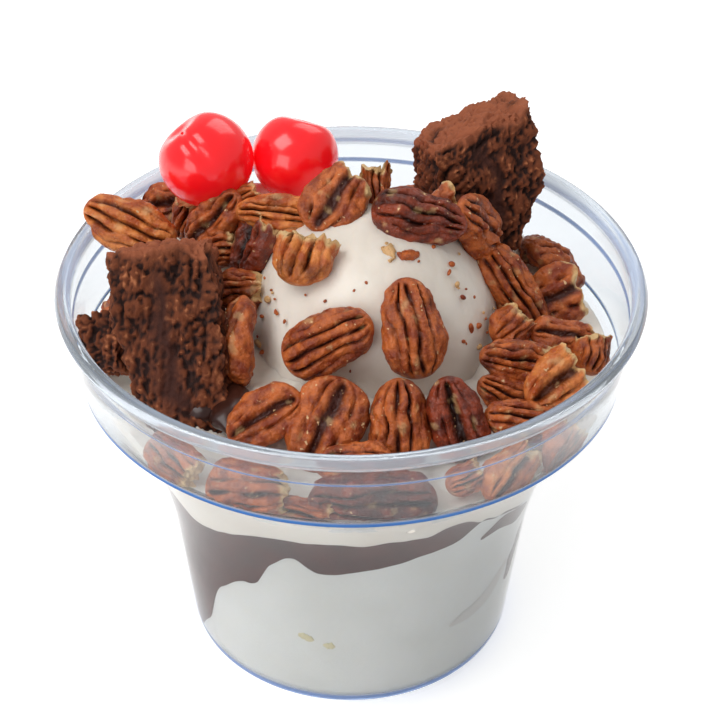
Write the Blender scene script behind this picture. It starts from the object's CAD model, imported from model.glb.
import logging
import math
from collections.abc import Callable
from dataclasses import dataclass
from enum import Enum

import bpy
import numpy
from mathutils import Matrix, Vector, noise


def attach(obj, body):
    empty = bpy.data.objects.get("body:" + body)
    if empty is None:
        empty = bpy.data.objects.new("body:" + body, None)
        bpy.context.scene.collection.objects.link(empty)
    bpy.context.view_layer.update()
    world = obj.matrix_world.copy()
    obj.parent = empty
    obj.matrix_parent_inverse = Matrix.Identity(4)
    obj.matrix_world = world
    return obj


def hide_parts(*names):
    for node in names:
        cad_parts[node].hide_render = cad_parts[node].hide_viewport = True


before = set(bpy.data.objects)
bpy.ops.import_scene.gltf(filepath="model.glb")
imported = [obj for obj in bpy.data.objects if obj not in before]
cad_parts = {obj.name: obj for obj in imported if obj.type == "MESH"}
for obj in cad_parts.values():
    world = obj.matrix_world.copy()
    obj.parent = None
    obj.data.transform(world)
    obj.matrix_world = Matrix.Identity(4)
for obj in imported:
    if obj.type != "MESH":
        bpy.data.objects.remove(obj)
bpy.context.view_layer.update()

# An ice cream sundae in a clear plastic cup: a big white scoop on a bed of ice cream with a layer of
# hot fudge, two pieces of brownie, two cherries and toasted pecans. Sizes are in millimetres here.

MM = 0.001
BODY = "root"
LOG = logging.getLogger("sundae")

# The Mix node set for colours, with the numbers of its two colour inputs and of its result.
COLOURS = {"data_type": "RGBA"}
FIRST, SECOND, MIXED = 6, 7, 2

# Bearings in degrees over which an edge is averaged, so that its corners come out round.
ROUND_OFF = (-2.4, -1.6, -0.8, 0.0, 0.8, 1.6, 2.4)

# What Blender's own noise starts from; without it each run would start from the clock.
NOISE_SEED = 3

# Edges flatter than this, in degrees, are shaded as one smooth surface.
SMOOTH_ANGLE = 50.0


def linear(colour: str) -> tuple[float, float, float, float]:
    """Turn an sRGB hex colour to linear.

    Args:
        colour: The colour, such as #f3efe6.

    Returns:
        Linear red, green, blue and alpha.
    """
    parts = [int(colour[i:i + 2], 16) / 255.0 for i in (1, 3, 5)]
    made = [c / 12.92 if c <= 0.04045 else ((c + 0.055) / 1.055) ** 2.4 for c in parts]
    return (*made, 1.0)


def add_node(
    tree: bpy.types.NodeTree, kind: str, settings: dict | None = None,
    inputs: dict | None = None, output: int | str = 0,
) -> bpy.types.NodeSocket:
    """Add a shader node with its settings and links.

    Args:
        tree: The material's node tree.
        kind: The node's type without its ShaderNode prefix.
        settings: Properties of the node by name.
        inputs: Values for its inputs, or sockets that are linked to them, by name or number.
        output: Name or number of the output that is wanted.

    Returns:
        The socket of that output.
    """
    node = tree.nodes.new("ShaderNode" + kind)
    for name, value in (settings or {}).items():
        setattr(node, name, value)
    for key, value in (inputs or {}).items():
        if isinstance(value, bpy.types.NodeSocket):
            tree.links.new(value, node.inputs[key])
        else:
            node.inputs[key].default_value = value
    return node.outputs[output]


def grain(
    tree: bpy.types.NodeTree, size: float, detail: float = 3.0, low: float = 0.0,
    high: float = 1.0,
) -> bpy.types.NodeSocket:
    """Noise in the object's own space.

    Args:
        tree: The material's node tree.
        size: The size of its lumps in millimetres.
        detail: How many finer octaves it has.
        low: The noise value that gives 0.
        high: The noise value that gives 1.

    Returns:
        The socket of its value, from 0 to 1.
    """
    place = add_node(tree, "TexCoord", output="Object")
    field = add_node(
        tree, "TexNoise", {}, {"Vector": place, "Scale": 1.0 / (size * MM), "Detail": detail})
    return add_node(tree, "MapRange", {}, {"Value": field, "From Min": low, "From Max": high})


@dataclass(frozen=True)
class Finish:
    """A material under its common name; each kind of finish fills in its own nodes."""

    name: str
    roughness: float = 0.5

    def make(self) -> bpy.types.Material:
        """The material, made once and then shared."""
        made = bpy.data.materials.get(self.name)
        if made is None:
            made = bpy.data.materials.new(self.name)
            made.use_nodes = True
            tree = made.node_tree
            shader = tree.nodes["Principled BSDF"]
            shader.inputs["Roughness"].default_value = self.roughness
            self.dress(tree, shader)
        return made

    def dress(self, tree: bpy.types.NodeTree, shader: bpy.types.Node) -> None:
        """Add what this finish has beyond a plain colour."""

    def relief(
        self, tree: bpy.types.NodeTree, shader: bpy.types.Node, height: bpy.types.NodeSocket,
        depth: float,
    ) -> None:
        """Bump the surface.

        Args:
            tree: The material's node tree.
            shader: Its Principled BSDF.
            height: The socket of a height from 0 to 1.
            depth: What a height of 1 comes to, in millimetres.
        """
        bump = add_node(tree, "Bump", {}, {"Height": height, "Distance": depth * MM}, "Normal")
        tree.links.new(bump, shader.inputs["Normal"])


@dataclass(frozen=True)
class IceCream(Finish):
    """Soft vanilla ice cream: warm white, faintly glossy where it melts, and a little see-through."""

    colour: str = "#eee6da"
    shade: str = "#e6dccf"
    subsurface: float = 0.25

    def dress(self, tree: bpy.types.NodeTree, shader: bpy.types.Node) -> None:
        """Cloud the white a little, and give it fine pits and waves.

        Args:
            tree: The material's node tree.
            shader: Its Principled BSDF.
        """
        clouds = grain(tree, 14.0, 2.0, 0.35, 0.65)
        tint = add_node(
            tree, "Mix", COLOURS,
            {0: clouds, FIRST: linear(self.shade), SECOND: linear(self.colour)}, MIXED)
        tree.links.new(tint, shader.inputs["Base Color"])
        shader.inputs["Subsurface Weight"].default_value = self.subsurface
        shader.inputs["Subsurface Radius"].default_value = (1.0, 0.8, 0.6)
        shader.inputs["Subsurface Scale"].default_value = 2.0 * MM
        shader.inputs["Specular IOR Level"].default_value = 0.35
        self.relief(tree, shader, grain(tree, 2.5, 4.0), 0.14)


@dataclass(frozen=True)
class Fudge(Finish):
    """Hot fudge sauce: nearly black brown with a wet gloss."""

    colour: str = "#2a130d"
    light: str = "#3f2017"
    coat: float = 0.6

    def dress(self, tree: bpy.types.NodeTree, shader: bpy.types.Node) -> None:
        """Let the brown go up and down a little under a glossy coat.

        Args:
            tree: The material's node tree.
            shader: Its Principled BSDF.
        """
        clouds = grain(tree, 9.0, 2.0, 0.35, 0.65)
        tint = add_node(
            tree, "Mix", COLOURS,
            {0: clouds, FIRST: linear(self.colour), SECOND: linear(self.light)}, MIXED)
        tree.links.new(tint, shader.inputs["Base Color"])
        shader.inputs["Specular IOR Level"].default_value = 0.3
        shader.inputs["Coat Weight"].default_value = self.coat
        shader.inputs["Coat Roughness"].default_value = 0.15
        self.relief(tree, shader, grain(tree, 5.0, 2.0), 0.4)


@dataclass(frozen=True)
class Brownie(Finish):
    """Brownie: dark crumb with lighter crumbs on it, smeared patches and a paler baked crust."""

    deep: str = "#240e08"
    crumb: str = "#70391f"
    loose: str = "#b06c45"
    smear: str = "#3c1c13"
    crust: str = "#a35c3d"
    raised: tuple[float, float] = (0.2, 0.56)
    highest: tuple[float, float] = (0.55, 0.8)
    speck_size: float = 1.6

    def dress(self, tree: bpy.types.NodeTree, shader: bpy.types.Node) -> None:
        """Colour the crumb by how far it stands out, then lay the smears and the crust over it.

        Args:
            tree: The material's node tree.
            shader: Its Principled BSDF.
        """
        height = add_node(tree, "Attribute", {"attribute_name": "crumb"}, output="Fac")
        raised = add_node(
            tree, "MapRange", {},
            {"Value": height, "From Min": self.raised[0], "From Max": self.raised[1]})
        highest = add_node(
            tree, "MapRange", {},
            {"Value": height, "From Min": self.highest[0], "From Max": self.highest[1]})
        speck = add_node(
            tree, "Math", {"operation": "MULTIPLY"},
            {0: highest, 1: grain(tree, self.speck_size, 3.0, 0.5, 0.62)})
        smeared = add_node(tree, "Attribute", {"attribute_name": "smear"}, output="Fac")
        baked = add_node(tree, "Attribute", {"attribute_name": "crust"}, output="Fac")
        tint = linear(self.deep)
        for amount, colour in (
            (raised, self.crumb), (speck, self.loose), (smeared, self.smear), (baked, self.crust),
        ):
            tint = add_node(
                tree, "Mix", COLOURS, {0: amount, FIRST: tint, SECOND: linear(colour)}, MIXED)
        tree.links.new(tint, shader.inputs["Base Color"])
        shader.inputs["Specular IOR Level"].default_value = 0.3
        self.relief(tree, shader, grain(tree, 0.9, 5.0), 0.35)


@dataclass(frozen=True)
class CherrySkin(Finish):
    """Cocktail cherry: bright red, see-through skin under thick syrup."""

    colour: str = "#ff1420"
    dark: str = "#f50d19"

    def dress(self, tree: bpy.types.NodeTree, shader: bpy.types.Node) -> None:
        """A wet coat over a red that glows from inside.

        Args:
            tree: The material's node tree.
            shader: Its Principled BSDF.
        """
        clouds = grain(tree, 8.0, 2.0, 0.3, 0.7)
        tint = add_node(
            tree, "Mix", COLOURS,
            {0: clouds, FIRST: linear(self.dark), SECOND: linear(self.colour)}, MIXED)
        tree.links.new(tint, shader.inputs["Base Color"])
        shader.inputs["Subsurface Weight"].default_value = 0.7
        shader.inputs["Subsurface Radius"].default_value = (1.0, 0.12, 0.1)
        shader.inputs["Subsurface Scale"].default_value = 6.0 * MM
        shader.inputs["Coat Weight"].default_value = 0.5
        shader.inputs["Coat Roughness"].default_value = 0.08
        shader.inputs["Emission Color"].default_value = linear(self.colour)
        shader.inputs["Emission Strength"].default_value = 0.16
        shader.inputs["Specular IOR Level"].default_value = 0.5


@dataclass(frozen=True)
class PecanSkin(Finish):
    """Toasted pecan: orange brown skin, dark in its grooves, with pale dust and pale broken flesh."""

    skin: str = "#863412"
    deep: str = "#42180c"
    ridge: str = "#c96a30"
    flesh: str = "#dcb67f"
    dust: str = "#e0b98a"
    cut: tuple[float, float] = (0.15, 0.75)

    def dress(self, tree: bpy.types.NodeTree, shader: bpy.types.Node) -> None:
        """Colour grooves, ridges and broken flesh by the numbers on the mesh, then add the dust.

        Args:
            tree: The material's node tree.
            shader: Its Principled BSDF.
        """
        clouds = grain(tree, 2.6, 6.0, 0.36, 0.64)
        blotch = grain(tree, 7.0, 3.0, 0.55, 0.8)
        groove = add_node(tree, "Attribute", {"attribute_name": "groove"}, output="Fac")
        cut = add_node(
            tree, "MapRange", {},
            {"Value": groove, "From Min": self.cut[0], "From Max": self.cut[1]})
        specks = grain(tree, 1.1, 2.0, 0.69, 0.74)
        broken = add_node(tree, "Attribute", {"attribute_name": "raw"}, output="Fac")
        tint = linear(self.skin)
        for amount, colour in (
            (clouds, self.ridge), (blotch, self.deep), (cut, self.deep), (specks, self.dust),
            (broken, self.flesh),
        ):
            tint = add_node(
                tree, "Mix", COLOURS, {0: amount, FIRST: tint, SECOND: linear(colour)}, MIXED)
        tree.links.new(tint, shader.inputs["Base Color"])
        shader.inputs["Specular IOR Level"].default_value = 0.42
        self.relief(tree, shader, grain(tree, 1.0, 7.0), 0.6)


@dataclass(frozen=True)
class ClearPlastic(Finish):
    """Clear PET plastic: hard, glossy and colourless, with blue light along its edges."""

    ior: float = 1.34
    tint: str = "#e1e6ea"
    # Each line is its height, half its width, its strength, the least radius where it shows, and
    # its colour.
    lines: tuple = (
        (86.6, 2.6, 0.34, 50.0, "#cfdded"), (69.4, 1.2, 1.0, 56.1, "#2c68b4"),
        (80.3, 0.6, 0.8, 57.1, "#2c68b4"), (84.9, 0.45, 0.5, 57.0, "#2c68b4"),
        (1.6, 1.6, 0.8, 20.0, "#2c68b4"))
    veil: float = 0.03
    gloss: float = 0.35
    # How much a line takes from the clearness, the share of it at full strength, and how softly
    # its least radius sets in.
    line_fill: float = 0.75
    core: float = 0.4
    soft: float = 0.1

    def dress(self, tree: bpy.types.NodeTree, shader: bpy.types.Node) -> None:
        """Tint the edges by their height, and let lamps through without a dark shadow.

        Args:
            tree: The material's node tree.
            shader: Its Principled BSDF.
        """
        shader.inputs["IOR"].default_value = self.ior
        shader.inputs["Specular IOR Level"].default_value = self.gloss
        place = add_node(tree, "TexCoord", output="Object")
        height = add_node(tree, "SeparateXYZ", {}, {"Vector": place}, "Z")
        level = add_node(
            tree, "VectorMath", {"operation": "MULTIPLY"}, {0: place, 1: (1.0, 1.0, 0.0)})
        radius = add_node(tree, "VectorMath", {"operation": "LENGTH"}, {0: level}, "Value")
        tint = linear(self.tint)
        clear = 1.0 - self.veil
        for middle, half, strength, least, colour in self.lines:
            away = add_node(
                tree, "Math", {"operation": "SUBTRACT"}, {0: height, 1: middle * MM})
            away = add_node(tree, "Math", {"operation": "ABSOLUTE"}, {0: away})
            near = add_node(
                tree, "MapRange", {},
                {"Value": away, "From Min": half * MM, "From Max": half * MM * self.core,
                 "To Max": strength})
            outer = add_node(
                tree, "MapRange", {},
                {"Value": radius, "From Min": (least - self.soft) * MM,
                 "From Max": (least + self.soft) * MM})
            near = add_node(tree, "Math", {"operation": "MULTIPLY"}, {0: near, 1: outer})
            tint = add_node(
                tree, "Mix", COLOURS, {0: near, FIRST: tint, SECOND: linear(colour)}, MIXED)
            clear = add_node(
                tree, "Math", {"operation": "MULTIPLY_ADD"},
                {0: near, 1: -self.line_fill, 2: clear})
        tree.links.new(clear, shader.inputs["Transmission Weight"])
        tree.links.new(tint, shader.inputs["Base Color"])
        shadow = add_node(tree, "LightPath", output="Is Shadow Ray")
        light = add_node(tree, "BsdfTransparent")
        through = add_node(tree, "MixShader", {}, {0: shadow, 1: shader.outputs[0], 2: light})
        tree.links.new(through, tree.nodes["Material Output"].inputs["Surface"])


@dataclass(frozen=True)
class Paper(Finish):
    """White studio paper under the sundae."""

    colour: str = "#ffffff"
    glow: float = 0.4

    def dress(self, tree: bpy.types.NodeTree, shader: bpy.types.Node) -> None:
        """A flat white that the lamps just fill.

        Args:
            tree: The material's node tree.
            shader: Its Principled BSDF.
        """
        shader.inputs["Base Color"].default_value = linear(self.colour)
        shader.inputs["Emission Color"].default_value = linear(self.colour)
        shader.inputs["Emission Strength"].default_value = self.glow


# Thin vacuum-formed PET: crisp lamp glints, and blue where an edge is seen end on.
PLASTIC = ClearPlastic("clear_pet_plastic", 0.02)
# Soft vanilla ice cream, scooped: warm white that spreads light, with fine pits.
ICE_CREAM = IceCream("vanilla_ice_cream", 0.36)
# The same pressed against the wall: greyer and flat, as plastic takes its gloss.
LOW_CREAM = IceCream("ice_cream_behind_plastic", 0.6, "#dedcd7", "#d8d6d0")
# A yellowish spot of butterfat pressed flat against the wall.
SPOT = IceCream("cream_spot", 0.6, "#dccfa8", "#d4c69c")
# A trace of fudge wiped thin: only a little darker than the ice cream.
STAIN = IceCream("pale_fudge_stain", 0.6, "#d7d0c8", "#d2cbc3")
# Hot fudge, poured: nearly black, smooth and wet.
FUDGE = Fudge("hot_fudge", 0.3, coat=0.2)
# Fudge pressed against the wall: matt, and paler for the plastic over it.
FUDGE_ON_WALL = Fudge("fudge_behind_plastic", 0.6, "#3d1710", "#532318", 0.0)
# Baked brownie, cut: dull dark crumb with paler loose crumbs and crust.
BROWNIE = Brownie("baked_brownie", 0.8)
# Candied cherry: bright red to its heart, with sharp glints in its syrup.
CHERRY = CherrySkin("cherry_skin", 0.22)


class Shade(Enum):
    """How dark a pecan was toasted: the darker it is, the glossier its oily skin looks."""

    PALE = PecanSkin("pecan_lightly_toasted", 0.38, "#aa4c18", "#57260f", "#de8642")
    MID = PecanSkin("pecan_toasted", 0.4)
    DARK = PecanSkin("pecan_well_toasted", 0.32, "#5c2010", "#2a0f09", "#913a1b")


class Side(Enum):
    """Which side of a pecan half looks out."""

    RIDGED = 1
    HOLLOW = -1


def unit_ball(name: str, around: int, down: int) -> bpy.types.Object:
    """A ball of radius 1 with its poles on Z, ready to be shaped.

    Args:
        name: The piece's name.
        around: How many faces it has around.
        down: How many rings it has from pole to pole.

    Returns:
        The ball.
    """
    bpy.ops.object.select_all(action="DESELECT")
    bpy.ops.mesh.primitive_uv_sphere_add(segments=around, ring_count=down, radius=1.0)
    made = bpy.context.object
    made.name = name
    made.data.name = name
    return made


def read_points(piece: bpy.types.Object) -> numpy.ndarray:
    """A piece's vertices.

    Args:
        piece: The object.

    Returns:
        Their places in the mesh's own units, one in each row.
    """
    found = numpy.empty(len(piece.data.vertices) * 3)
    piece.data.vertices.foreach_get("co", found)
    return found.reshape(-1, 3)


def write_points(piece: bpy.types.Object, points: numpy.ndarray) -> None:
    """Move a piece's vertices.

    Args:
        piece: The object.
        points: Their new places in millimetres, one in each row.
    """
    piece.data.vertices.foreach_set("co", (points * MM).astype(numpy.float32).ravel())
    piece.data.update()


def write_number(piece: bpy.types.Object, name: str, values: numpy.ndarray) -> None:
    """Store a number at each vertex for the materials to read.

    Args:
        piece: The object.
        name: The number's name.
        values: The numbers, kept from 0 to 1.
    """
    layer = piece.data.attributes.new(name, "FLOAT", "POINT")
    layer.data.foreach_set("value", numpy.clip(values, 0.0, 1.0).astype(numpy.float32))


def rough(points: numpy.ndarray, size: float, seed: int, waves: int = 26) -> numpy.ndarray:
    """Smooth random relief at each point.

    Args:
        points: Places in millimetres, one in each row.
        size: The rough size of its bumps in millimetres.
        seed: What the draw starts from.
        waves: How many plane waves it adds up.

    Returns:
        A value at each point, mostly from -1.5 to 1.5.
    """
    draw = numpy.random.default_rng(seed)
    ways = draw.normal(size=(waves, points.shape[1]))
    ways /= numpy.linalg.norm(ways, axis=1)[:, None]
    lengths = size * draw.uniform(1.3, 3.2, waves)
    starts = draw.uniform(0.0, 2.0 * math.pi, waves)
    turns = points @ (ways * (2.0 * math.pi / lengths)[:, None]).T + starts
    return numpy.sin(turns).sum(1) / math.sqrt(waves / 2.0)


def waves_of(points: numpy.ndarray, waves: tuple, seed: int) -> numpy.ndarray:
    """Add up random relief of several sizes.

    Args:
        points: Places in millimetres, one in each row.
        waves: The (height, size) of each kind of wave, in millimetres.
        seed: What the first kind starts from; each next one starts from the next number.

    Returns:
        The relief at each point, in millimetres.
    """
    return sum(
        height * rough(points, size, seed + i) for i, (height, size) in enumerate(waves))


def smooth_step(value: numpy.ndarray, low: float, high: float) -> numpy.ndarray:
    """Ease a value from 0 to 1.

    Args:
        value: The values.
        low: Where it gives 0.
        high: Where it gives 1; it may be the smaller of the two.

    Returns:
        The eased values.
    """
    part = numpy.clip((value - low) / (high - low), 0.0, 1.0)
    return part * part * (3.0 - 2.0 * part)


def facing(place: tuple, face: tuple, spin: float) -> Matrix:
    """Where a piece goes.

    Args:
        place: Its centre in millimetres.
        face: The bearing and rise, in degrees, that its local Z looks along.
        spin: How far it is turned on that face, anticlockwise from level, in degrees.

    Returns:
        The matrix from the piece's own space.
    """
    bearing, rise = (math.radians(angle) for angle in face)
    out = Vector((
        math.cos(rise) * math.cos(bearing), math.cos(rise) * math.sin(bearing), math.sin(rise)))
    level = Vector((-math.sin(bearing), math.cos(bearing), 0.0))
    axes = Matrix((level, out.cross(level), out)).transposed().to_4x4()
    return Matrix.Translation(Vector(place)) @ axes @ Matrix.Rotation(math.radians(spin), 4, "Z")


def placed(points: numpy.ndarray, matrix: Matrix) -> numpy.ndarray:
    """Move points by a matrix.

    Args:
        points: The points, one in each row.
        matrix: The matrix, which turns and moves.

    Returns:
        The moved points.
    """
    turn = numpy.array(matrix.to_3x3())
    return points @ turn.T + numpy.array(matrix.translation)


def height_at(pairs: tuple, bearing: numpy.ndarray) -> numpy.ndarray:
    """Read an edge's height between given ones, with its corners rounded off.

    Args:
        pairs: The edge as (bearing in degrees, height in millimetres) pairs.
        bearing: The bearings that are asked for.

    Returns:
        The height at each of them.
    """
    bearings, heights = numpy.array(pairs, dtype=float).T
    found = numpy.zeros(bearing.shape)
    for shift in ROUND_OFF:
        found += numpy.interp(bearing + shift, bearings, heights, period=360.0)
    return found / len(ROUND_OFF)


def hand_in(piece: bpy.types.Object, slot: str, *nodes: str) -> None:
    """Smooth a piece and put it on the sundae.

    Args:
        piece: The finished piece.
        slot: What it is made of.
        nodes: The CAD nodes that it stands for, if any.
    """
    bpy.ops.object.select_all(action="DESELECT")
    piece.select_set(True)
    bpy.context.view_layer.objects.active = piece
    bpy.ops.object.shade_smooth_by_angle(angle=math.radians(SMOOTH_ANGLE))
    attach(piece, BODY)
    if nodes:
        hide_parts(*nodes)
    LOG.info("%s: %d vertices", piece.name, len(piece.data.vertices))


def joined(name: str, parts: list[bpy.types.Object]) -> bpy.types.Object:
    """Join several objects into one.

    Args:
        name: The name of what they become.
        parts: The objects.

    Returns:
        The joined object.
    """
    bpy.ops.object.select_all(action="DESELECT")
    for part in parts:
        part.select_set(True)
    bpy.context.view_layer.objects.active = parts[0]
    bpy.ops.object.join()
    parts[0].name = name
    parts[0].data.name = name
    return parts[0]


@dataclass
class Cup:
    """The clear cup: foot, swelling wall, ledge, collar and a rolled rim."""

    wall: float = 0.8
    foot_radius: float = 35.4
    foot_ring: float = 28.5
    foot_lift: float = 1.5
    foot_corner: float = 2.2
    corner_inset: float = 1.6
    corner_steps: int = 5
    taper: float = 0.11
    swell_start: float = 28.2
    swell_power: float = 1.76
    # Heights of the outline's points: many in the swell, crowding towards the ledge, then even ones.
    swell_depth: float = 41.0
    swell_steps: int = 30
    crowding: float = 2.2
    even_top: float = 26.0
    even_step: float = 2.0
    even_steps: int = 12
    ledge: tuple[float, float] = (56.3, 69.2)
    collar_top: tuple[float, float] = (56.9, 79.5)
    neck_foot: tuple[float, float] = (57.6, 80.4)
    neck_top: tuple[float, float] = (57.8, 84.2)
    bead: tuple[float, float] = (58.4, 86.5)
    bead_radius: float = 1.6
    # How far the bead is rolled, in degrees, its points, and how deep its shallow grooves are.
    bead_turn: float = 235.0
    bead_steps: int = 24
    bead_groove: float = 0.13
    steps: int = 180
    # How far what fills the cup reaches into its wall.
    reach: float = 0.15

    def wall_radius(self, height: float) -> float:
        """The outer radius of the wall.

        Args:
            height: How high above the floor.

        Returns:
            The radius there.
        """
        part = min(max((height - self.swell_start) / (self.ledge[1] - self.swell_start), 0.0), 1.0)
        swell = self.ledge[0] - self.foot_radius - self.taper * self.ledge[1]
        curve = 1.0 - (1.0 - part ** self.swell_power) ** (1.0 / self.swell_power)
        return self.foot_radius + self.taper * height + swell * curve

    def outside(self) -> list[tuple[float, float]]:
        """The outer outline from the neck down to the foot's middle.

        Returns:
            Its (radius, height) points.
        """
        top = self.ledge[1]
        swell = [
            top - self.swell_depth * (i / self.swell_steps) ** self.crowding
            for i in range(1, self.swell_steps)]
        heights = swell + [self.even_top - self.even_step * i for i in range(self.even_steps)]
        turn = math.radians(90.0 / self.corner_steps)
        corner = [
            (self.wall_radius(self.foot_corner) - self.corner_inset * (1.0 - math.cos(turn * i)),
             self.foot_corner * (1.0 - math.sin(turn * i)))
            for i in range(1, self.corner_steps + 1)]
        foot = [(self.foot_ring, 0.0), (self.foot_ring - self.foot_lift, self.foot_lift)]
        return (
            [self.neck_top, self.neck_foot, self.collar_top, (self.ledge[0] + 0.05, top + 0.4),
             self.ledge]
            + [(self.wall_radius(h), h) for h in heights]
            + [(self.wall_radius(self.foot_corner), self.foot_corner)] + corner + foot
            + [(0.0, self.foot_lift)])

    def inset(self, distance: float) -> list[tuple[float, float]]:
        """The outer outline moved inwards, square to its own sides.

        Args:
            distance: How far it is moved.

        Returns:
            Its (radius, height) points.
        """
        outline = self.outside()
        moved = []
        for i, point in enumerate(outline):
            before, here = Vector(outline[max(i - 1, 0)]), Vector(point)
            after = Vector(outline[min(i + 1, len(outline) - 1)])
            sides = [s.normalized() for s in (here - before, after - here) if s.length > 0.0]
            normals = [Vector((s.y, -s.x)) for s in sides]
            middle = sum(normals, Vector((0.0, 0.0))).normalized()
            place = here + middle * distance / max(middle.dot(normals[0]), 0.5)
            moved.append((max(place.x, 0.0), place.y))
        moved[-1] = (0.0, outline[-1][1] + distance)
        return moved

    def kept_inside(self, points: numpy.ndarray, clear: float = 0.2) -> numpy.ndarray:
        """Move points in to where they clear the wall, up to the rim.

        Args:
            points: The points in millimetres, one in each row.
            clear: How far they stay from the wall.

        Returns:
            The moved points.
        """
        line = numpy.array(self.inset(self.wall)[::-1])
        limit = numpy.interp(points[:, 2], line[:, 1], line[:, 0]) - clear
        limit = numpy.where(points[:, 2] > self.bead[1] + self.bead_radius, 1e3, limit)
        away = numpy.hypot(points[:, 0], points[:, 1])
        points[:, :2] *= numpy.minimum(limit / numpy.maximum(away, 1.0), 1.0)[:, None]
        return points

    def build(self) -> bpy.types.Object:
        """Turn the cup's outline with a Screw.

        Returns:
            The cup.
        """
        bead = []
        for i in range(self.bead_steps + 1):
            angle = math.radians(180.0 - self.bead_turn * i / self.bead_steps)
            radius = self.bead_radius - self.bead_groove * (1.0 - math.cos(6.0 * angle)) / 2.0
            bead.append((
                self.bead[0] + radius * math.cos(angle), self.bead[1] + radius * math.sin(angle)))
        outline = list(reversed(self.inset(self.wall))) + bead + self.outside()
        mesh = bpy.data.meshes.new("clear_cup")
        points = [(radius * MM, 0.0, height * MM) for radius, height in outline]
        mesh.from_pydata(points, [(i, i + 1) for i in range(len(points) - 1)], [])
        cup = bpy.data.objects.new("clear_cup", mesh)
        bpy.context.scene.collection.objects.link(cup)
        bpy.ops.object.select_all(action="DESELECT")
        cup.select_set(True)
        bpy.context.view_layer.objects.active = cup
        screw = cup.modifiers.new("turn", "SCREW")
        screw.steps = self.steps
        screw.render_steps = self.steps
        screw.use_merge_vertices = True
        screw.merge_threshold = 0.001 * MM
        screw.use_smooth_shade = True
        bpy.ops.object.modifier_apply(modifier="turn")
        bpy.ops.object.mode_set(mode="EDIT")
        bpy.ops.mesh.select_all(action="SELECT")
        bpy.ops.mesh.normals_make_consistent(inside=False)
        bpy.ops.object.mode_set(mode="OBJECT")
        cup.data.materials.append(PLASTIC.make())
        hand_in(cup, "clear_plastic", "cup")
        return cup


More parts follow.
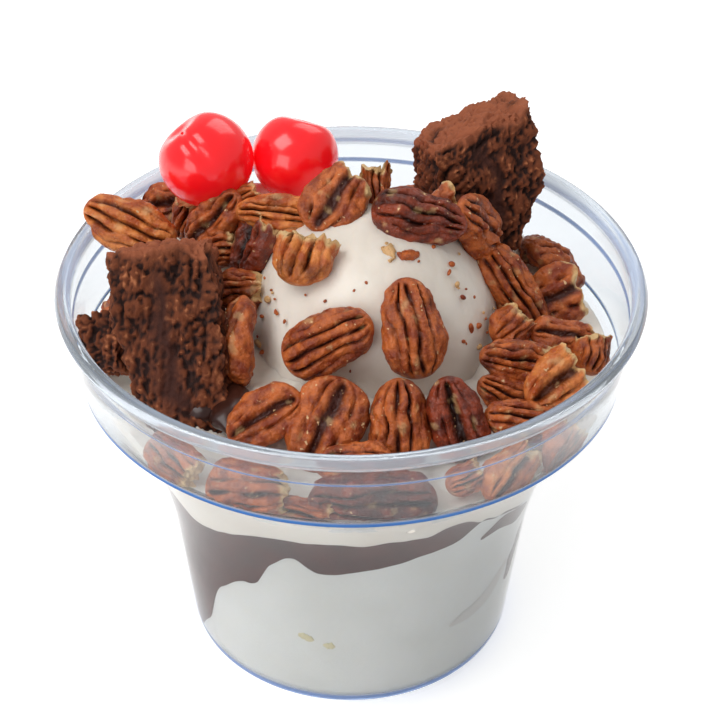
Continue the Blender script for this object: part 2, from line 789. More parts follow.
@dataclass
class Fill:
    """What fills the cup: ice cream, a band of fudge, and the bed under the scoop."""

    cup: Cup
    around: int = 288
    down: int = 96
    # Edges at the wall as (bearing, height) pairs: under and over the fudge, and the bed's top.
    under: tuple = (
        (-180, 3), (-165, 2.4), (-155, 3), (-149, 8), (-144, 13.5), (-139, 22), (-136, 26),
        (-130, 29.6), (-121, 34), (-117, 35.5), (-115.5, 41), (-111, 44.5), (-106, 47.5),
        (-103, 46.4), (-101, 43.4), (-95, 42.8), (-88, 43.3), (-80, 45), (-69, 47), (-62, 48),
        (-56.5, 49.6), (-54, 53), (-30, 46), (10, 39), (60, 40), (100, 37), (140, 26), (165, 9))
    over: tuple = (
        (-180, 54), (-160, 55), (-150, 50), (-142, 46), (-135, 45.5), (-126, 48.6), (-116, 52.3),
        (-108, 54), (-104, 53.4), (-96, 54.6), (-79, 54.8), (-70, 54), (-64.5, 56.2), (-59, 55.4),
        (-54, 53), (-30, 46), (10, 43), (60, 47), (120, 48), (160, 52))
    bed: tuple = (
        (-180, 68.5), (-150, 66), (-125, 65.5), (-90, 67), (-60, 67.5), (-25, 68), (90, 70),
        (140, 69))
    fudge_middle: tuple = (42.0, 50.0)
    bed_middle: float = 73.0
    fudge_reach: float = 36.0
    bed_reach: float = 54.0
    # Where a ball's rows pass from its upper face to its side, and from there to its lower face.
    rows: tuple[float, float] = (0.35, 0.94)
    # How far a smear sits in the plastic, and half its thickness.
    press: float = 0.16
    spread: float = 0.14
    # How high the waves of an edge are, and how far one layer reaches into the next.
    wave: float = 0.3
    overlap: float = 0.8
    # Smears at the wall: the course as (bearing, height) pairs, and half the width.
    streaks: tuple = (
        (((-50.5, 45.2), (-43, 46.6), (-31, 43.2), (-26, 42.0)), 2.3),
        (((-26, 19.0), (-23, 26.0), (-18, 32.0), (-14, 40.0)), 3.2))
    spots: tuple = (
        (((-106.5, 21.4), (-101.5, 19.9)), 1.0), (((-98.5, 18.9), (-94.5, 18.7)), 0.9))
    stain: tuple = (((-55.5, 18.5), (-44, 20.0), (-35, 22.5), (-28, 27.0)), 2.2)

    def outline(self, reach: float) -> tuple[numpy.ndarray, numpy.ndarray, numpy.ndarray]:
        """The wall's inner outline, pushed into the plastic.

        Args:
            reach: How far it is pushed in.

        Returns:
            Lengths along it from the middle of the floor, radii and heights.
        """
        line = numpy.array([p for p in self.cup.inset(self.cup.wall - reach) if p[1] < 69.0][::-1])
        steps = numpy.linalg.norm(numpy.diff(line, axis=0), axis=1)
        along = numpy.concatenate(([0.0], numpy.cumsum(steps)))
        return along, line[:, 0], line[:, 1]

    def layer(
        self, name: str, low: Callable | None, high: Callable, middles: tuple[float, float],
        inner: float, push: float,
    ) -> bpy.types.Object:
        """One layer between two uneven faces.

        Args:
            name: The piece's name.
            low: Height of its lower edge at the wall for a bearing, or None for the cup's floor.
            high: Height of its upper edge at the wall for a bearing.
            middles: Heights of its two faces on the cup's axis.
            inner: Within this radius its upper face curves down to the middle.
            push: How far it reaches into the plastic.

        Returns:
            The layer.
        """
        piece = unit_ball(name, self.around, self.down)
        unit = read_points(piece)
        top_row, base_row = self.rows
        row = numpy.arccos(numpy.clip(unit[:, 2], -1.0, 1.0)) / math.pi
        turn = numpy.degrees(numpy.arctan2(unit[:, 1], unit[:, 0]))
        along, radii, heights = self.outline(push)
        wall = slice(int(numpy.argmax(heights > 4.0)) - 1, None)
        top = numpy.interp(high(turn), heights[wall], along[wall])
        if low is None:
            base = numpy.zeros_like(top)
        else:
            base = numpy.interp(low(turn), heights[wall], along[wall])
        side = numpy.clip((base_row - row) / (base_row - top_row), 0.0, 1.0)
        length = base + (top - base) * side
        radius = numpy.interp(length, along, radii)
        height = numpy.interp(length, along, heights)
        inwards = numpy.clip(row / top_row, 0.0, 1.0)
        on_top = row < top_row
        radius = numpy.where(on_top, radius * inwards, radius)
        bend = numpy.minimum(radius / inner, 1.0) ** 2
        height = numpy.where(on_top, middles[1] + (high(turn) - middles[1]) * bend, height)
        if low is not None:
            below = row > base_row
            out = numpy.clip((1.0 - row) / (1.0 - base_row), 0.0, 1.0)
            radius = numpy.where(below, radius * out, radius)
            bend = numpy.minimum(radius / inner, 1.0) ** 2
            height = numpy.where(below, middles[0] + (low(turn) - middles[0]) * bend, height)
        angle = numpy.radians(turn)
        write_points(piece, numpy.stack(
            (radius * numpy.cos(angle), radius * numpy.sin(angle), height), axis=1))
        return piece

    def smear(self, path: tuple, half: float, seed: int) -> bpy.types.Object:
        """A thin smear pressed against the wall.

        Args:
            path: Its course as (bearing, height) pairs.
            half: Half its width in millimetres.
            seed: What its ragged edge starts from.

        Returns:
            The smear.
        """
        piece = unit_ball("smear", 48, 40)
        across, thick, along = read_points(piece).T
        bearings, levels = numpy.array(path, dtype=float).T
        course = numpy.linspace(-1.0, 1.0, len(bearings))
        lengths, radii, heights = self.outline(self.cup.reach + self.press)
        bearing = numpy.radians(numpy.interp(along, course, bearings))
        level = numpy.interp(along, course, levels)
        middle = numpy.interp(level, heights, radii)
        run = numpy.radians(bearings[-1] - bearings[0]) * middle.mean()
        rise = levels[-1] - levels[0]
        size = math.hypot(run, rise)
        ragged = 1.0 + 0.18 * rough(numpy.stack((along * 9.0, across * 3.0), 1), 3.0, seed)
        offset = across * half * ragged
        level = level + offset * run / size
        bearing = bearing - offset * rise / size / middle
        radius = numpy.interp(level, heights, radii) + thick * self.spread
        write_points(piece, numpy.stack(
            (radius * numpy.cos(bearing), radius * numpy.sin(bearing), level), axis=1))
        return piece

    def edge(self, pairs: tuple, seed: int, wave: float, shift: float = 0.0) -> Callable:
        """An edge at the wall with small waves on it.

        Args:
            pairs: The edge as (bearing, height) pairs.
            seed: What its waves start from.
            wave: How high they are.
            shift: How far the whole edge is raised.

        Returns:
            A function that gives the edge's height for each bearing.
        """
        def height(turn: numpy.ndarray) -> numpy.ndarray:
            """The edge's height at each bearing."""
            ring = numpy.stack((numpy.cos(numpy.radians(turn)), numpy.sin(numpy.radians(turn))), 1)
            waves = rough(ring * 50.0, 6.0, seed) + 0.3 * rough(ring * 50.0, 2.2, seed + 1)
            return height_at(pairs, turn) + wave * waves + shift
        return height

    def build(self) -> None:
        """Both layers of ice cream and the fudge between them."""
        reach = self.cup.reach
        low = self.layer(
            "ice_cream_low", None, self.edge(self.under, 11, self.wave, self.overlap),
            (0.0, self.fudge_middle[0]), self.fudge_reach, reach)
        low.data.materials.append(LOW_CREAM.make())
        hand_in(low, "ice_cream", "ice_cream_base")
        fudge = self.layer(
            "fudge_band", self.edge(self.under, 11, self.wave),
            self.edge(self.over, 21, self.wave), self.fudge_middle, self.fudge_reach, reach + 0.08)
        fudge.data.materials.append(FUDGE_ON_WALL.make())
        hand_in(fudge, "fudge", "fudge_layer")
        streak = joined("fudge_streaks", [
            self.smear(path, half, 61 + i) for i, (path, half) in enumerate(self.streaks)])
        streak.data.materials.append(FUDGE_ON_WALL.make())
        hand_in(streak, "fudge")
        spots = joined("cream_spots", [
            self.smear(path, half, 63 + i) for i, (path, half) in enumerate(self.spots)])
        spots.data.materials.append(SPOT.make())
        hand_in(spots, "ice_cream")
        stain = self.smear(*self.stain, 65)
        stain.name = "pale_stain"
        stain.data.materials.append(STAIN.make())
        hand_in(stain, "ice_cream")


@dataclass
class Scoop:
    """The big scoop and the bed of ice cream that it stands in."""

    fill: Fill
    centre: tuple = (4.4, 5.5, 71.6)
    radius: float = 26.4
    # Waves as (height, size) pairs: on the bed, on the ball and on the mounds.
    bed_waves: tuple = ((0.6, 5.0), (0.25, 2.0))
    ball_waves: tuple = ((0.3, 11.0), (0.05, 3.0), (0.02, 1.0))
    mound_wave: tuple = (0.5, 5.0)
    # The bed is smooth from the first radius outwards and wavy from the second inwards.
    smooth_from: tuple[float, float] = (54.0, 46.0)
    skirt: float = 1.5
    bed_top: float = 60.0
    # The mounds under the cherries and under the corner piece, as place and radii.
    mounds: tuple = (
        ((-21.6, 28.5, 69.5), (18.0, 9.5, 21.0)), ((29.0, 27.0, 68.0), (12.0, 12.0, 13.0)))

    def build(self) -> None:
        """Join a bumpy ball, the bed and the mounds that carry what stands behind."""
        bed = self.fill.layer(
            "scoop_bed", self.fill.edge(self.fill.over, 21, self.fill.wave, -self.fill.overlap),
            self.fill.edge(self.fill.bed, 31, 0.35), (50.0, self.fill.bed_middle),
            self.fill.bed_reach, self.fill.cup.reach)
        points = read_points(bed) / MM
        off_wall = smooth_step(numpy.hypot(points[:, 0], points[:, 1]), *self.smooth_from)
        lift = off_wall * (points[:, 2] > self.bed_top)
        points[:, 2] += lift * waves_of(points, self.bed_waves, 41)
        write_points(bed, points)
        ball = unit_ball("scoop_ball", 288, 144)
        unit = read_points(ball)
        places = unit * self.radius
        grow = waves_of(places, self.ball_waves, 51)
        skirt = smooth_step(-unit[:, 2], -0.15, 0.25) * self.skirt
        write_points(ball, unit * (self.radius + grow + skirt)[:, None] + numpy.array(self.centre))
        parts = [ball, bed]
        for place, radii in self.mounds:
            mound = unit_ball("mound", 128, 80)
            unit = read_points(mound)
            shape = unit * numpy.array(radii)
            shape += unit * waves_of(shape, (self.mound_wave,), 55)[:, None]
            write_points(mound, shape + numpy.array(place))
            parts.append(mound)
        scoop = joined("ice_cream_top", parts)
        scoop.data.materials.append(ICE_CREAM.make())
        hand_in(scoop, "ice_cream", "ice_cream_scoop")


@dataclass
class Nut:
    """A pecan half, or a broken piece of one.

    The size is its length, width and height. It is whole from the first share of its length that
    keep gives to the second, and broken off beyond.
    """

    name: str
    place: tuple
    face: tuple
    spin: float
    size: tuple
    side: Side
    keep: tuple
    shade: Shade = Shade.MID
    trim: float = 0.94
    # Each groove of the ridged side: its place from edge to edge, how wide and how deep it is.
    grooves: tuple = (
        (0.0, 0.085, 1.0), (0.42, 0.06, 0.8), (-0.42, 0.06, 0.8), (0.78, 0.05, 0.4),
        (-0.78, 0.05, 0.4))
    groove_depth: float = 1.75
    cleft_depth: float = 1.9
    usual_height: float = 7.5
    # Wrinkles in its skin as (height, size) pairs.
    wrinkles: tuple = ((0.2, 2.0), (0.14, 0.8))
    # How blunt the ends are, how full the sides are, and how much one end is slimmer.
    blunt: float = 2.8
    full: float = 0.52
    taper: float = 0.13
    # The shares of the height above and below the edge.
    back: float = 0.62
    belly: float = 0.4
    around: int = 88
    along: int = 56

    def shape(
        self, unit: numpy.ndarray, seed: int,
    ) -> tuple[numpy.ndarray, numpy.ndarray, numpy.ndarray]:
        """The nut in its own space.

        Args:
            unit: The vertices of a ball with its poles on Z.
            seed: What its random draws start from.

        Returns:
            The vertices in millimetres, how deep each lies in a groove, and how raw it is.
        """
        length, width, height = (part * self.trim for part in self.size)
        draw = numpy.random.default_rng(seed)
        t = unit[:, 2]
        phi = numpy.arctan2(unit[:, 1], unit[:, 0])
        slim = 1.0 - self.taper * t * draw.choice((-1.0, 1.0))
        girth = (1.0 - numpy.abs(t) ** self.blunt) ** self.full * slim
        across = numpy.cos(phi)
        up = numpy.sin(phi)
        outer = up > 0.0
        tall = numpy.where(outer, self.back, self.belly) * height
        lift = numpy.abs(up) ** 0.85 * numpy.sign(up)
        flat = numpy.stack((t * 10.0, across * 6.0), axis=1)
        wander = 0.035 * rough(flat, 4.0, seed + 1) + draw.uniform(-0.03, 0.03)
        fade = smooth_step(1.0 - numpy.abs(t), 0.02, 0.22)
        groove = numpy.zeros_like(t)
        run = across * (0.35 + 0.65 * girth)
        for line, spread, depth in self.grooves:
            swing = line + wander * (1.0 + abs(line))
            strength = depth * (0.9 + 0.25 * rough(flat, 4.0, seed + int(line * 50)))
            cut = numpy.exp(-((run - swing) / spread) ** 2) * strength
            groove = numpy.maximum(groove, numpy.where(outer, cut, 0.0))
        cleft = numpy.exp(-((across - wander) / 0.2) ** 2)
        ribs = numpy.exp(-((numpy.abs(across - wander) - 0.52) / 0.07) ** 2) * 0.5
        inner = numpy.maximum(cleft, ribs * (0.7 + 0.4 * rough(flat, 3.0, seed + 7)))
        groove = numpy.where(outer, groove, inner) * fade
        groove = numpy.clip(groove, 0.0, 1.1)
        deep = numpy.where(outer, self.groove_depth, self.cleft_depth) * height / self.usual_height
        places = numpy.stack(
            (t * length / 2.0, across * girth * width / 2.0, lift * girth * tall), axis=1)
        lumps = 0.36 * rough(places, 4.5, seed + 8)
        lumps += waves_of(places, self.wrinkles, seed + 2)
        push = (lumps * (0.4 + 0.6 * fade) - groove * deep)[:, None]
        places += numpy.stack((numpy.zeros_like(t), across * 0.6, up), axis=1) * push
        raw = 0.35 * smooth_step(rough(places, 1.6, seed + 4), 1.4, 2.1)
        for end, way in ((self.keep[0], -1.0), (self.keep[1], 1.0)):
            if 0.0 < end < 1.0:
                tilt = 0.15 * places[:, 1] + 0.1 * places[:, 2]
                crumbs = 0.5 * rough(places[:, 1:], 2.0, seed + 5)
                crumbs += 0.22 * rough(places[:, 1:], 0.9, seed + 6)
                cut = (end - 0.5) * length - way * (tilt + crumbs)
                past = (places[:, 0] - cut) * way
                places[:, 0] = numpy.where(past > 0.0, cut, places[:, 0])
                broken = smooth_step(past + 0.3 * rough(places, 1.6, seed + 9), -0.9, 0.0)
                raw = numpy.maximum(raw, broken)
                groove = groove * (1.0 - broken)
        places[:, 0] -= (self.keep[0] + self.keep[1] - 1.0) / 2.0 * length
        return places, groove, raw

    def build(self, cup: Cup) -> None:
        """Shape a ball into the nut and lay it in its place.

        Args:
            cup: The cup that it stays inside.
        """
        piece = unit_ball("nut_" + self.name, self.around, self.along)
        seed = sum(ord(letter) * (i + 3) for i, letter in enumerate(self.name))
        places, groove, raw = self.shape(read_points(piece), seed)
        if self.side is Side.HOLLOW:
            places = places * numpy.array((1.0, -1.0, -1.0))
        places = placed(places, facing(self.place, self.face, self.spin))
        write_points(piece, cup.kept_inside(places))
        write_number(piece, "groove", groove)
        write_number(piece, "raw", raw)
        piece.data.materials.append(self.shade.value.make())
        hand_in(piece, "pecan", "pecan_" + self.name)


@dataclass
class Garnish:
    """The loose bits: pecan crumbs on the scoop, and pools of fudge between the toppings."""

    scoop: Scoop
    # Crumbs on the scoop: bearing and rise in degrees, half the length and half the width.
    chips: tuple = (
        (-72, 67, 2.6, 1.3), (-54, 63, 2.0, 1.4), (-62, 64, 1.0, 0.7), (-46, 62, 0.8, 0.6),
        (-156, 28, 1.0, 0.7), (-146, 27, 0.7, 0.5), (-155, 20, 0.6, 0.4), (-138, 26, 0.5, 0.4),
        (-153, 7, 1.0, 0.7), (-149, 5, 0.7, 0.5), (-25, 49, 0.8, 0.6), (-33, 47, 0.7, 0.4),
        (-33, 41, 0.6, 0.5), (-34, 35, 0.7, 0.5), (-37, 21, 1.0, 0.6), (-31, 19, 0.8, 0.5),
        (-34, 10, 0.8, 0.6), (-44, 18, 0.6, 0.4), (-58, 17, 0.5, 0.4), (-95, 53, 0.4, 0.3),
        (-124, 7, 0.5, 0.4), (-119, 42, 0.4, 0.3), (-25, 60, 0.6, 0.4))
    # Pools of fudge: the middle and the radii.
    pools: tuple = (
        ((-23.5, -24.5, 71.6), (4.0, 8.0, 2.6)), ((-29.0, -19.0, 71.0), (6.0, 7.0, 3.2)))

    # Dust between them: how many grains, half the length and half the width, and where they may lie.
    dust: tuple = (26, 0.35, 0.25)
    dust_bearings: tuple[float, float] = (-170, 10)
    dust_rises: tuple[float, float] = (8, 60)
    crumb_lift: float = 0.15
    crumb_wave: float = 0.12
    thickest: float = 0.5
    paleness: float = 0.8
    pool_wave: tuple[float, float] = (0.1, 5.0)

    def crumbs(self) -> None:
        """Scatter pecan crumbs over the scoop where the photograph has them, and dust between."""
        draw = numpy.random.default_rng(77)
        rows = list(self.chips)
        count, half, thin = self.dust
        rows += [
            (draw.uniform(*self.dust_bearings), draw.uniform(*self.dust_rises), half, thin)
            for _ in range(count)]
        made = []
        for bearing, rise, half, thin in rows:
            bpy.ops.mesh.primitive_ico_sphere_add(subdivisions=3, radius=1.0)
            chip = bpy.context.object
            shape = read_points(chip)
            shape *= numpy.array((half, thin, min(thin, self.thickest)))
            shape += self.crumb_wave * half * rough(shape, 0.9, len(made))[:, None]
            where = facing((0.0, 0.0, 0.0), (bearing, rise), draw.uniform(0.0, 180.0))
            away = Vector((0.0, 0.0, self.scoop.radius + self.crumb_lift))
            out = numpy.array(where.to_3x3() @ away)
            write_points(chip, placed(shape, where) + out + numpy.array(self.scoop.centre))
            pale = numpy.full(len(shape), float(len(made) % 4 == 0))
            write_number(chip, "raw", pale * self.paleness)
            write_number(chip, "groove", numpy.zeros(len(shape)))
            made.append(chip)
        crumbs = joined("pecan_crumbs", made)
        crumbs.data.materials.append(Shade.MID.value.make())
        hand_in(crumbs, "pecan")

    def sauce(self) -> None:
        """Flow the pools of fudge as low glossy blobs."""
        made = []
        for middle, radii in self.pools:
            pool = unit_ball("pool", 80, 50)
            shape = read_points(pool) * numpy.array(radii)
            wave, size = self.pool_wave
            shape *= (1.0 + wave * rough(shape, size, 90 + len(made)))[:, None]
            write_points(pool, shape + numpy.array(middle))
            made.append(pool)
        sauce = joined("fudge_pools", made)
        sauce.data.materials.append(FUDGE.make())
        hand_in(sauce, "fudge")

    def build(self) -> None:
        """Both kinds of loose bits."""
        self.crumbs()
        self.sauce()


@dataclass
class BrowniePiece:
    """A cut piece of brownie with crumbling sides.

    The size is its width, height and depth. Its top rises by slope to one side, its foot narrows
    by pinch on that side and by lean on the other, and uneven is how far it is bent out of true.
    """

    name: str
    place: tuple
    face: tuple
    spin: float
    size: tuple
    slope: float
    pinch: float
    uneven: float
    lean: float = 0.0
    crust_top: bool = False
    smear_width: float = 0.0
    # How much the crumbs stand out, and the coarse, fine and finest size of them.
    relief: float = 1.35
    crumb_sizes: tuple[float, float, float] = (2.6, 1.1, 0.6)
    pit_size: float = 4.0
    pit_depth: float = 0.55
    # The size of the bends that take the block out of true, and how the smear wanders on it.
    bend_size: float = 5.0
    smear_bend: float = 0.18
    smear_shift: float = 0.1
    cuts: int = 56
    blunt: float = 0.035

    def build(self, cup: Cup) -> None:
        """Shape a finely cut block and crumble its sides.

        Args:
            cup: The cup that it stays inside.
        """
        bpy.ops.object.select_all(action="DESELECT")
        bpy.ops.mesh.primitive_cube_add(size=2.0)
        piece = bpy.context.object
        piece.name = self.name + "_crumb"
        piece.data.name = piece.name
        bpy.ops.object.mode_set(mode="EDIT")
        bpy.ops.mesh.select_all(action="SELECT")
        bpy.ops.mesh.subdivide(number_cuts=self.cuts)
        bpy.ops.object.mode_set(mode="OBJECT")
        x, y, z = read_points(piece).T
        width, height, depth = self.size
        blunt = 1.0 - self.blunt * (x * x * y * y + y * y * z * z + z * z * x * x)
        lift = self.slope * x * width / 2.0 * numpy.maximum(y, 0.0)
        narrow = 1.0 - self.pinch * numpy.maximum(x, 0.0) * numpy.maximum(-y, 0.0)
        narrow -= self.lean * numpy.maximum(-x, 0.0) * numpy.maximum(0.3 - y, 0.0)
        block = numpy.stack((x * width * narrow, y * height + lift * 2.0, z * depth), 1) / 2.0
        block *= blunt[:, None]
        shift = Vector(self.place)
        noise.seed_set(NOISE_SEED)
        bent = numpy.array([
            noise.noise_vector((Vector(p) + shift) / self.bend_size) for p in block])
        block += bent * self.uneven
        number = int(abs(self.place[0]) * 10)
        coarse, fine, dots = (
            rough(block, size, number + i) for i, size in enumerate(self.crumb_sizes))
        smear = numpy.zeros_like(x)
        if self.smear_width:
            bend = self.smear_bend * rough(block, 7.0, number + 3)
            across = numpy.abs(x + bend + self.smear_shift)
            smear = smooth_step(self.smear_width - across, -0.15, 0.15)
            smear *= (z > 0.98) * smooth_step(0.75 - numpy.abs(y), -0.1, 0.2)
        keep = 1.0 - 0.5 * smear
        pits = smooth_step(rough(block, self.pit_size, number + 5), 0.8, 1.7)
        crumbs = 0.75 * numpy.tanh(numpy.abs(coarse)) + 0.4 * numpy.tanh(numpy.abs(fine) * 1.2)
        crumbs += 0.12 * dots - self.pit_depth * pits
        out = numpy.stack((x, y, z), 1) ** 5
        out /= numpy.linalg.norm(out, axis=1)[:, None]
        block += out * ((crumbs - 0.5) * self.relief * keep)[:, None]
        crust = numpy.zeros_like(x)
        if self.crust_top:
            crust = smooth_step(y + 0.06 * rough(block, 3.0, number + 4), 0.84, 0.97)
        block = placed(block, facing(self.place, self.face, self.spin))
        write_points(piece, cup.kept_inside(block))
        write_number(piece, "crumb", 0.1 + 0.5 * crumbs + 0.1 * dots)
        write_number(piece, "smear", smear)
        write_number(piece, "crust", crust * 0.8)
        piece.data.materials.append(BROWNIE.make())
        hand_in(piece, "brownie", self.name)


@dataclass
class Cherry:
    """A stoned cocktail cherry with a dimple and a fold.

    The dimple is the bearing and rise that it looks along, and fold is where round it the fold
    runs down. Depth and width are the dimple's, as shares of the radius.
    """

    name: str
    place: tuple
    diameter: float
    dimple: tuple
    fold: float = 0.0
    depth: float = 0.22
    width: float = 0.45
    fold_depth: float = 0.07
    fold_width: float = 0.16
    wave: float = 0.007

    def build(self, cup: Cup) -> None:
        """Dimple a ball, and press a fold in its side.

        Args:
            cup: The cup that it stays inside.
        """
        piece = unit_ball(self.name + "_skin", 128, 80)
        unit = read_points(piece)
        from_pole = numpy.hypot(unit[:, 0], unit[:, 1])
        hollow = self.depth * numpy.exp(-(from_pole / self.width) ** 2)
        ball = unit.copy()
        ball[:, 2] *= numpy.where(unit[:, 2] > 0.0, 1.0 - hollow, 1.0)
        turn = numpy.arctan2(unit[:, 1], unit[:, 0])
        from_fold = numpy.angle(numpy.exp(1j * (turn - self.fold)))
        crease = numpy.exp(-(from_fold / self.fold_width) ** 2)
        crease *= smooth_step(unit[:, 2], -0.4, 0.5)
        waves = self.wave * rough(unit * 10.0, 8.0, int(self.diameter))
        ball *= (1.0 - self.fold_depth * crease + waves)[:, None]
        ball *= self.diameter / 2.0
        ball = placed(ball, facing(self.place, self.dimple, 0.0))
        write_points(piece, cup.kept_inside(ball))
        piece.data.materials.append(CHERRY.make())
        hand_in(piece, "cherry", self.name)


NUTS = (
    Nut("dome_left", (-4.4, -18.6, 84.2), (-104, 30), 33, (21, 13, 7.5), Side.RIDGED, (0, 1)),
    Nut("dome_right", (12.0, -17.6, 87.0), (-76, 36), 93, (21.5, 13.5, 8), Side.RIDGED, (0, 1)),
    Nut("front_1", (-16.6, -31.5, 75.5), (-112, 40), 44, (18, 11.5, 7.5), Side.HOLLOW, (0, 1)),
    Nut("front_2", (-4.6, -33.5, 75.5), (-92, 44), 66, (20.5, 15.5, 8), Side.HOLLOW, (0, 1)),
    Nut("front_3", (9.6, -33.2, 75.5), (-96, 38), 95, (19, 12.5, 8), Side.RIDGED, (0, 1)),
    Nut("front_4", (20.6, -32.8, 76.4), (-82, 30), 104, (18.5, 12, 8), Side.HOLLOW, (0, 1), Shade.DARK),
    Nut("front_5", (1.0, -43.2, 73.6), (-90, 60), 4, (16, 9, 5), Side.RIDGED, (0, 1)),
    Nut("top_1", (-3.8, 9.0, 98.9), (-96, 50), 62, (18, 14, 7), Side.HOLLOW, (0, 0.85)),
    Nut("top_2", (13.6, 4.2, 98.8), (-88, 52), -14, (21, 12, 7.5), Side.RIDGED, (0, 1), Shade.DARK),
    Nut("top_3", (-10.2, -5.6, 94.4), (-110, 50), 84, (21, 13.5, 7.5), Side.RIDGED, (0, 0.5), Shade.PALE),
    Nut("top_4", (4.9, 15.0, 98.6), (-60, 50), 70, (14, 7, 6), Side.RIDGED, (0, 0.6)),
    Nut("top_5", (18.6, 9.6, 97.2), (-70, 45), 20, (12, 9, 6), Side.HOLLOW, (0, 0.6)),
    Nut("side_1", (25.4, 9.8, 93.6), (-30, 10), 124, (20, 12, 6), Side.RIDGED, (0, 1)),
    Nut("side_2", (33.4, 6.0, 79.8), (-75, 30), 118, (23.5, 11, 7), Side.RIDGED, (0, 1)),
    Nut("left_1", (-21.0, 9.0, 87.8), (-150, 36), 106, (17, 12, 7), Side.HOLLOW, (0, 0.8), Shade.DARK),
    Nut("left_2", (-23.4, 1.4, 82.6), (-100, 45), 8, (14.5, 8.5, 6.5), Side.RIDGED, (0, 0.75)),
    Nut("left_3", (-21.8, -12.0, 79.4), (-172, 8), 122, (20, 9, 7), Side.RIDGED, (0, 1)),
    Nut("left_4", (-28.0, 13.8, 84.6), (-100, 30), 14, (12, 8.5, 6.5), Side.RIDGED, (0, 0.75)),
    Nut("left_5", (-16.2, 13.6, 93.0), (-95, 50), -4, (20, 9, 7), Side.RIDGED, (0, 0.85), Shade.PALE),
    Nut("back_1", (-28.8, 17.4, 89.2), (-120, 30), 62, (17, 11, 6.5), Side.HOLLOW, (0, 1)),
    Nut("back_2", (-22.6, 20.6, 91.6), (-90, 40), 22, (12, 8, 5.5), Side.RIDGED, (0, 0.6), Shade.PALE),
    Nut("back_3", (-35.2, 25.0, 84.0), (-110, 30), 75, (15, 9, 7), Side.RIDGED, (0, 0.6)),
    Nut("back_4", (-41.0, 33.0, 83.0), (-110, 40), 20, (17, 10, 7), Side.HOLLOW, (0, 0.8)),
    Nut("far_left", (-46.6, 16.0, 88.4), (-105, 42), -16, (23, 12.5, 7.5), Side.RIDGED, (0, 1), Shade.PALE),
    Nut("right_1", (41.8, 9.0, 75.4), (-95, 38), 30, (17, 14, 7), Side.HOLLOW, (0, 0.8)),
    Nut("right_2", (32.0, -5.6, 78.0), (-60, 40), 20, (16, 9, 6), Side.RIDGED, (0, 0.55)),
    Nut("right_3", (42.8, -5.2, 76.4), (-80, 55), -14, (17, 9, 6), Side.HOLLOW, (0, 0.8)),
    Nut("right_4", (32.6, -14.8, 76.8), (-70, 50), -22, (18, 10, 6.5), Side.RIDGED, (0, 0.85)),
    Nut("right_5", (48.4, -12.4, 76.4), (-60, 45), 60, (15, 8, 6), Side.RIDGED, (0, 0.55)),
    Nut("right_6", (39.4, -25.4, 78.6), (-80, 45), 30, (21, 13, 8), Side.HOLLOW, (0, 0.6), Shade.PALE),
    Nut("right_7", (30.2, -20.0, 72.6), (-70, 40), -40, (15, 9, 6), Side.RIDGED, (0, 0.8)),
    Nut("right_8", (34.2, -30.6, 74.2), (-75, 50), -18, (18, 10, 6.5), Side.RIDGED, (0, 1)),
    Nut("wall_1", (-34.0, -39.6, 72.0), (-125, 35), -20, (17, 10, 6), Side.RIDGED, (0, 0.75)),
    Nut("wall_2", (-19.4, -47.0, 70.4), (-112, 35), 12, (19, 13, 6.5), Side.RIDGED, (0, 0.9)),
    Nut("wall_3", (-8.8, -50.6, 68.6), (-100, 20), -8, (14, 7, 6), Side.HOLLOW, (0, 0.8)),
    Nut("wall_4", (4.4, -49.6, 70.4), (-86, 30), -2, (26, 13, 7), Side.RIDGED, (0, 1), Shade.DARK),
    Nut("wall_5", (21.6, -44.8, 71.8), (-68, 30), 12, (10, 6, 5), Side.RIDGED, (0, 0.8)),
    Nut("wall_6", (30.2, -43.4, 72.0), (-58, 30), 34, (18, 9.5, 6.5), Side.HOLLOW, (0, 0.8), Shade.PALE),
    Nut("wall_7", (40.2, -36.4, 71.8), (-44, 30), 32, (16, 10, 6), Side.RIDGED, (0, 0.7)),
    Nut("rear_1", (18.0, 46.0, 74.5), (80, 45), 15, (20, 13, 7.5), Side.RIDGED, (0, 1)),
    Nut("rear_2", (2.0, 41.0, 75.0), (95, 40), 70, (19, 12, 7), Side.HOLLOW, (0, 1)),
    Nut("rear_3", (-13.0, 43.5, 76.0), (110, 50), -20, (21, 13, 7.5), Side.RIDGED, (0, 1)),
    Nut("rear_4", (-28.0, 41.5, 76.5), (125, 45), 40, (19, 12, 7), Side.RIDGED, (0, 0.8)),
    Nut("rear_5", (43.5, 24.0, 74.0), (30, 45), 80, (20, 13, 7), Side.RIDGED, (0, 1)),
    Nut("rear_6", (-46.0, 6.0, 75.0), (170, 45), 60, (19, 12, 7), Side.RIDGED, (0, 1)),
)


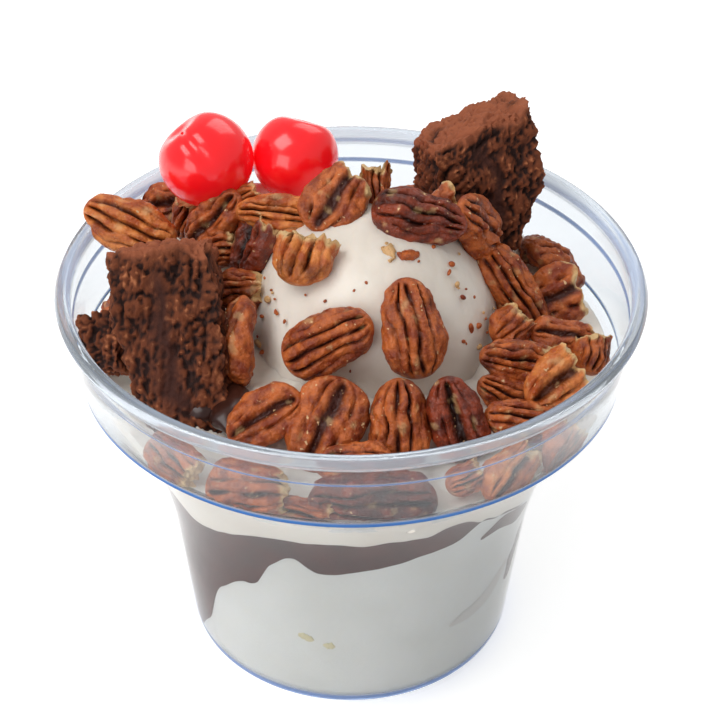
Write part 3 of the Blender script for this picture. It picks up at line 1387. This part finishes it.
@dataclass
class Studio:
    """White paper, soft light and the camera."""

    focal: float = 98.0
    sensor: float = 36.0
    target: tuple = (1.84, 0.0, 65.91)
    distance: float = 411.17
    elevation: float = 36.92
    roll: float = -0.39
    sky: float = 0.47
    lamps: tuple = (
        ("key_lamp", (-0.4, -0.16, 0.75), 0.5, 3.0), ("front_lamp", (-0.5, -0.75, 0.3), 0.5, 1.9),
        ("back_lamp", (0.3, 0.6, 0.7), 0.6, 2.0))

    def camera(self) -> None:
        """The camera that the photograph was matched with."""
        rise = math.radians(self.elevation)
        back = Vector((0.0, -math.cos(rise), math.sin(rise)))
        right = Vector((1.0, 0.0, 0.0))
        turn = Matrix.Rotation(-math.radians(self.roll), 3, back)
        bpy.ops.object.camera_add()
        camera = bpy.context.object
        axes = Matrix((turn @ right, turn @ back.cross(right), back)).transposed().to_4x4()
        camera.matrix_world = (
            Matrix.Translation((Vector(self.target) + back * self.distance) * MM) @ axes)
        camera.data.lens = self.focal
        camera.data.sensor_width = self.sensor
        camera.data.clip_start = 0.01
        camera.data.dof.use_dof = False
        bpy.context.scene.camera = camera

    def lamp(self, name: str, place: tuple, size: float, watts: float) -> None:
        """Hang a soft square lamp that is aimed at the sundae.

        Args:
            name: The lamp's name.
            place: Where it hangs, in metres.
            size: Its width in metres.
            watts: How strong it is.
        """
        bpy.ops.object.light_add(type="AREA")
        lamp = bpy.context.object
        lamp.name = name
        lamp.data.size = size
        lamp.data.energy = watts
        start = Vector(place)
        aim = (Vector((0.0, 0.0, 0.07)) - start).to_track_quat("-Z", "Y").to_matrix().to_4x4()
        lamp.matrix_world = Matrix.Translation(start) @ aim

    def build(self) -> None:
        """Set up the paper, the sky, the lamps and the camera."""
        bpy.ops.object.select_all(action="DESELECT")
        bpy.ops.mesh.primitive_plane_add(size=6.0, location=(0.0, 0.0, 0.0))
        floor = bpy.context.object
        floor.name = "paper"
        floor.data.materials.append(Paper("studio_paper", 0.9).make())
        world = bpy.data.worlds.new("sky")
        bpy.context.scene.world = world
        world.use_nodes = True
        sky = world.node_tree.nodes["Background"]
        sky.inputs["Color"].default_value = (1.0, 1.0, 1.0, 1.0)
        sky.inputs["Strength"].default_value = self.sky
        for name, place, size, watts in self.lamps:
            self.lamp(name, place, size, watts)
        self.camera()
        bpy.context.scene.view_settings.view_transform = "Standard"


def main() -> None:
    """Build the sundae from the cup upwards, then its studio."""
    logging.basicConfig(level=logging.INFO, format="%(message)s")
    cup = Cup()
    cup.build()
    fill = Fill(cup)
    fill.build()
    scoop = Scoop(fill)
    scoop.build()
    Garnish(scoop).build()
    for piece in (
        BrowniePiece("brownie_slice", (-35.6, -11.2, 77.6), (-92, 36), 9, (21, 41, 17), 0.0, 0.1,
                     1.0, 0.32, True, 0.14),
        BrowniePiece("brownie_corner", (27.0, 28, 92.6), (-75, 20), 3, (22.5, 28, 20), 0.27, 0.65,
                     1.0, 0.0, True, 0.14),
        BrowniePiece("brownie_crumb", (-49.2, -9.5, 76.6), (-120, 40), 25, (10, 12, 9), 0.0, 0.0,
                     1.2, 0.0, False, 0.0, cuts=36),
        Cherry("cherry_left", (-31.0, 27.5, 98.0), 20.0, (165, 48), 0.6),
        Cherry("cherry_right", (-12.2, 32.5, 95.8), 18.8, (60, 60), 3.6),
        *NUTS,
    ):
        piece.build(cup)
    Studio().build()


if __name__ == "__main__":
    main()
